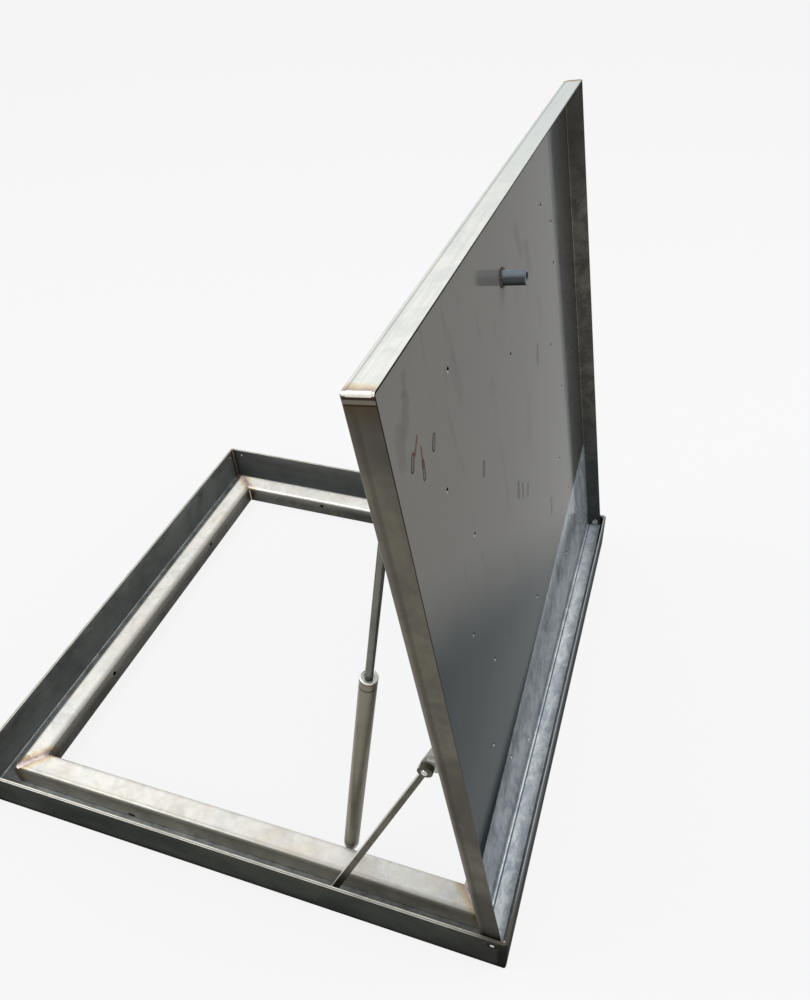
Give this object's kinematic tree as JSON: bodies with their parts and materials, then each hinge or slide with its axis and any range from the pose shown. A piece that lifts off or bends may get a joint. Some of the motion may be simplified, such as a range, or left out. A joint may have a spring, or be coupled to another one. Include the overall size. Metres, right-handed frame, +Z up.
{
  "type": "access cover",
  "caption": "Square recessed access cover: folded steel frame with a box tube seat and a hinged lid tray held up by gas struts and a stay bar.",
  "frame": {"origin": "middle of the frame's underside, where it stands on its bed", "axes": "+Z up out of the ground, +X towards the hinge side, -Y towards the front side that carries the stay bar"},
  "size_m": [0.86, 0.86, 0.8925],
  "materials": {
    "upstand": "bent stainless sheet, brushed, grey",
    "box_tube": "mottled mill finish with a faint bloom",
    "tray": "smooth cold-rolled stainless sheet, nearly mirror bright",
    "rib": "plain",
    "bracket": "plain",
    "weld": "heat tinted weld bead",
    "seal": "matt",
    "bush": "matt",
    "bright": "polished",
    "cylinder": "satin",
    "piston_rod": "ground",
    "stay": "satin",
    "socket": "dull"
  },
  "bodies": {
    "frame": {"angle_near": "upstand", "angle_far": "upstand", "angle_free": "upstand", "angle_hinge": "upstand", "tube_near": "box_tube", "tube_far": "box_tube", "tube_free": "box_tube", "tube_hinge": "box_tube", "corner_welds": "weld", "bush_near": "bush", "bush_far": "bush", "stud_near": "bright", "stud_far": "bright"},
    "lid": {"lid_pan": "tray", "rib_near": "rib", "rib_mid": "rib", "rib_far": "rib", "seal_near": "seal", "seal_far": "seal", "seal_free": "seal", "seal_hinge": "seal", "key_tube": "socket", "key_ring": "weld", "pin_near": "bright", "pin_far": "bright", "strut_tab_near": "bracket", "strut_tab_far": "bracket", "stay_tab": "bracket", "stay_pin": "bright"},
    "stay": {"stay_bar": "stay"},
    "cylinder_near": {"cyl_near": "cylinder", "socket_near": "bright", "guide_near": "bright"},
    "rod_near": {"rod_near": "piston_rod", "eye_near": "bright", "eye_pin_near": "bright"},
    "cylinder_far": {"cyl_far": "cylinder", "socket_far": "bright", "guide_far": "bright"},
    "rod_far": {"rod_far": "piston_rod", "eye_far": "bright", "eye_pin_far": "bright"}
  },
  "joints": [
    {"name": "lid_hinge", "type": "hinge", "parent": "frame", "child": "lid", "pos_m": [0.41, 0, 0.065], "axis": [0, 1, 0], "range_deg": [-82.2, 0]},
    {"name": "stay_hinge", "type": "hinge", "parent": "lid", "child": "stay", "pos_m": [0.32386, -0.4085, 0.40647], "axis": [0, 1, 0], "range_deg": [0, 150.71]},
    {"name": "strut_near_pivot", "type": "hinge", "parent": "frame", "child": "cylinder_near", "pos_m": [0.172, -0.3392, 0.016], "axis": [0, 1, 0], "range_deg": [-96.48, 0]},
    {"name": "strut_near_slide", "type": "slide", "parent": "cylinder_near", "child": "rod_near", "axis": [0.1458, 0, 0.9893], "range_m": [-0.28372, 0]},
    {"name": "strut_far_pivot", "type": "hinge", "parent": "frame", "child": "cylinder_far", "pos_m": [0.172, 0.3392, 0.016], "axis": [0, 1, 0], "range_deg": [-96.48, 0]},
    {"name": "strut_far_slide", "type": "slide", "parent": "cylinder_far", "child": "rod_far", "axis": [0.1458, 0, 0.9893], "range_m": [-0.28372, 0]}
  ],
  "couplings": [
    {"joint": "stay_hinge", "follows": "lid_hinge", "ratio": -1.8333},
    {"joint": "strut_near_pivot", "follows": "lid_hinge", "ratio": 1.1736},
    {"joint": "strut_near_slide", "follows": "lid_hinge", "m_per_rad": 0.19775},
    {"joint": "strut_far_pivot", "follows": "lid_hinge", "ratio": 1.1736},
    {"joint": "strut_far_slide", "follows": "lid_hinge", "m_per_rad": 0.19775}
  ]
}
